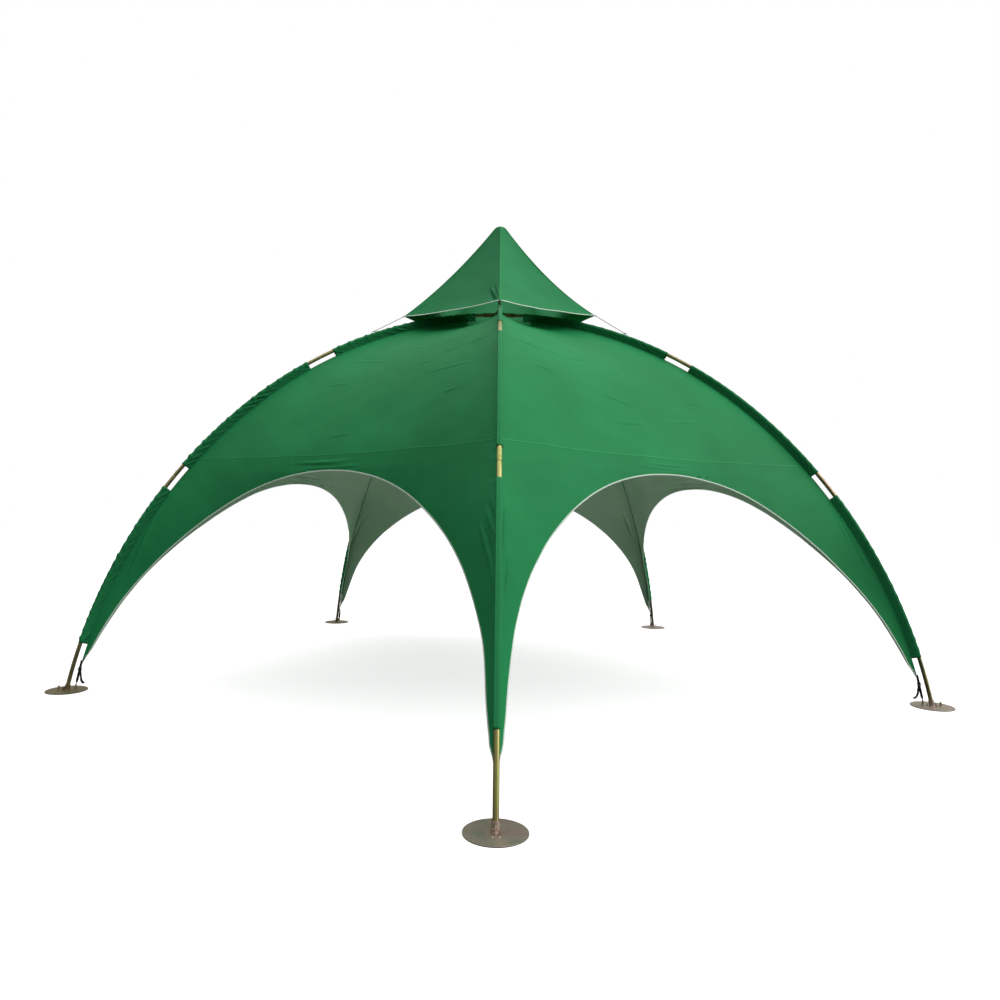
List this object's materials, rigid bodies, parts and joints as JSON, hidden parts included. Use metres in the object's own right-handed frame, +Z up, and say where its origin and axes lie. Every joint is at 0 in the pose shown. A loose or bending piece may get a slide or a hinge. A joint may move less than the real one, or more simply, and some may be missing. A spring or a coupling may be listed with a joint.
{
  "type": "event dome tent",
  "caption": "Dome tent on bent-tube arches with round base plates, fabric panels with scalloped doorways, pole sleeves and a raised peaked vent cap.",
  "frame": {"origin": "on the ground at the middle of the box round the tent; the mast's axis stands 0.382 m behind it", "axes": "+Z up, the front leg points along -Y, +X to the right seen from the front"},
  "size_m": [7.9484, 7.576, 4.6915],
  "materials": {
    "zinc_plate": "yellow-passivated zinc, satin, slightly mottled",
    "zinc_tube": "yellow-passivated zinc, satin, olive and gold tints",
    "zinc_hub": "yellow-passivated zinc, satin",
    "sleeve_cloth": "matt green polyester, coated inside",
    "canopy_cloth": "matt green polyester, grey-green coating inside",
    "cap_cloth": "matt green polyester, coated inside",
    "tie_cord": "dark braided cord",
    "strap_webbing": "black woven webbing with a black plastic buckle"
  },
  "bodies": {
    "root": {"foot_front": "zinc_plate", "foot_right": "zinc_plate", "foot_back_right": "zinc_plate", "foot_back_left": "zinc_plate", "foot_left": "zinc_plate", "pole_lower_front": "zinc_tube", "pole_lower_right": "zinc_tube", "pole_lower_back_right": "zinc_tube", "pole_lower_back_left": "zinc_tube", "pole_lower_left": "zinc_tube", "pole_middle_front": "zinc_tube", "pole_middle_right": "zinc_tube", "pole_middle_back_right": "zinc_tube", "pole_middle_back_left": "zinc_tube", "pole_middle_left": "zinc_tube", "pole_upper_front": "zinc_tube", "pole_upper_right": "zinc_tube", "pole_upper_back_right": "zinc_tube", "pole_upper_back_left": "zinc_tube", "pole_upper_left": "zinc_tube", "hub": "zinc_hub", "mast": "zinc_hub", "peak_disc": "zinc_hub", "arch_sleeve_front": "sleeve_cloth", "arch_sleeve_right": "sleeve_cloth", "arch_sleeve_back_right": "sleeve_cloth", "arch_sleeve_back_left": "sleeve_cloth", "arch_sleeve_left": "sleeve_cloth", "canopy_panel_front_right": "canopy_cloth", "canopy_panel_right": "canopy_cloth", "canopy_panel_back": "canopy_cloth", "canopy_panel_left": "canopy_cloth", "canopy_panel_front_left": "canopy_cloth", "vent_cap": "cap_cloth", "cap_tie_front": "tie_cord", "cap_tie_right": "tie_cord", "cap_tie_back_right": "tie_cord", "cap_tie_back_left": "tie_cord", "cap_tie_left": "tie_cord", "corner_strap_front": "strap_webbing", "corner_strap_right": "strap_webbing", "corner_strap_back_right": "strap_webbing", "corner_strap_back_left": "strap_webbing", "corner_strap_left": "strap_webbing"}
  },
  "joints": []
}
